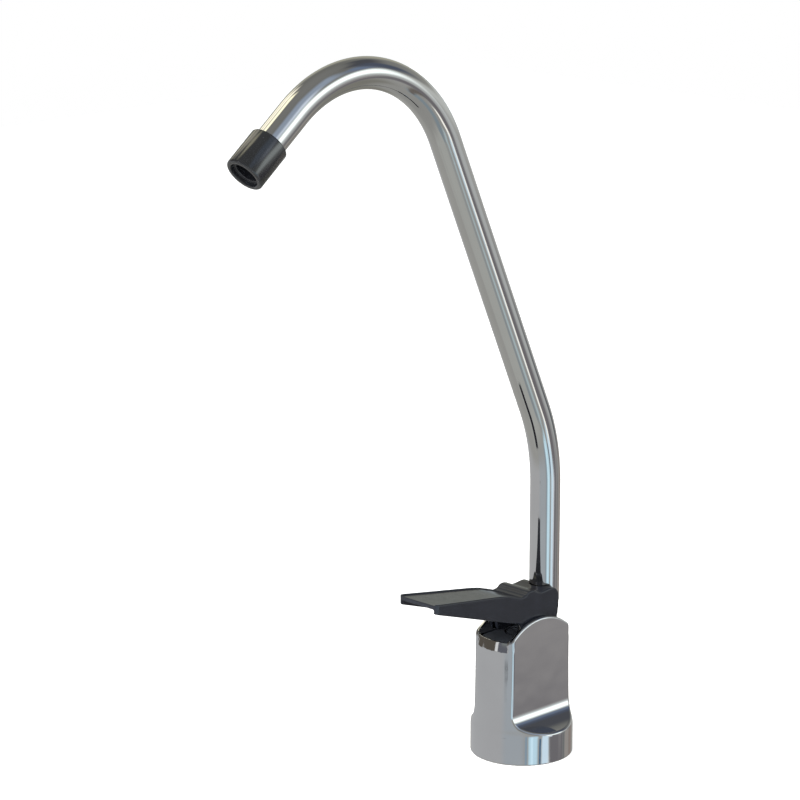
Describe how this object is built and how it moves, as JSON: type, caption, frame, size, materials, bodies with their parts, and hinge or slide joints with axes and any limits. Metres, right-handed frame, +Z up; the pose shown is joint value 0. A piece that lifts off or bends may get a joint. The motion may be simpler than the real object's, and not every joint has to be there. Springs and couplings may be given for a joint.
{
  "type": "drinking water faucet",
  "caption": "Long-reach drinking water faucet: flatted chrome body, black press lever on a lifting stem valve, swivelling bent spout with black tip, threaded shank.",
  "frame": {"origin": "on the body's vertical axis at the deck, in the plane of the base ring that stands on the deck", "axes": "+Z up along the body's axis, -Y forward where the lever and the spout point, +X to the side"},
  "size_m": [0.034, 0.1424, 0.2931],
  "materials": {
    "chrome": "polished chrome plate",
    "black_moulding": "satin-gloss black moulding",
    "brass": "turned brass",
    "steel": "plain stainless steel",
    "rubber": "matt black rubber"
  },
  "bodies": {
    "root": {"body_shell": "chrome", "valve_body": "black_moulding", "gland_nut": "black_moulding", "stem_o_ring": "rubber", "shank": "brass", "shank_o_ring": "rubber", "base_gasket": "rubber", "deck_washer": "rubber", "clamp_washer": "steel", "lock_washer": "steel", "mounting_nut": "brass", "inlet_nut": "brass", "inlet_sleeve": "brass"},
    "stem_group": {"stem": "steel", "valve_seal": "rubber", "seal_cup": "brass", "return_spring": "steel", "t_bar": "brass", "lock_nut": "brass"},
    "lever_group": {"lever": "black_moulding"},
    "spout_group": {"spout_tube": "chrome", "spout_foot": "black_moulding", "spout_o_ring_upper": "rubber", "spout_o_ring_lower": "rubber", "spout_clip": "steel", "spout_tip": "black_moulding"}
  },
  "joints": [
    {"name": "stem_lift", "type": "slide", "parent": "root", "child": "stem_group", "axis": [0, 0, 1], "range_m": [0, 0.0017], "stiffness_N_per_m": 1500, "springref_m": -0.002, "deforming": ["return_spring"]},
    {"name": "lever_press", "type": "hinge", "parent": "stem_group", "child": "lever_group", "pos_m": [0, 0, 0.05], "axis": [1, 0, 0], "range_deg": [0, 15]},
    {"name": "spout_swivel", "type": "hinge", "parent": "root", "child": "spout_group", "pos_m": [0, 0.01035, 0.05], "axis": [0, 0, 1], "continuous": true}
  ],
  "couplings": [
    {"joint": "lever_press", "follows": "stem_lift", "rad_per_m": 154}
  ]
}
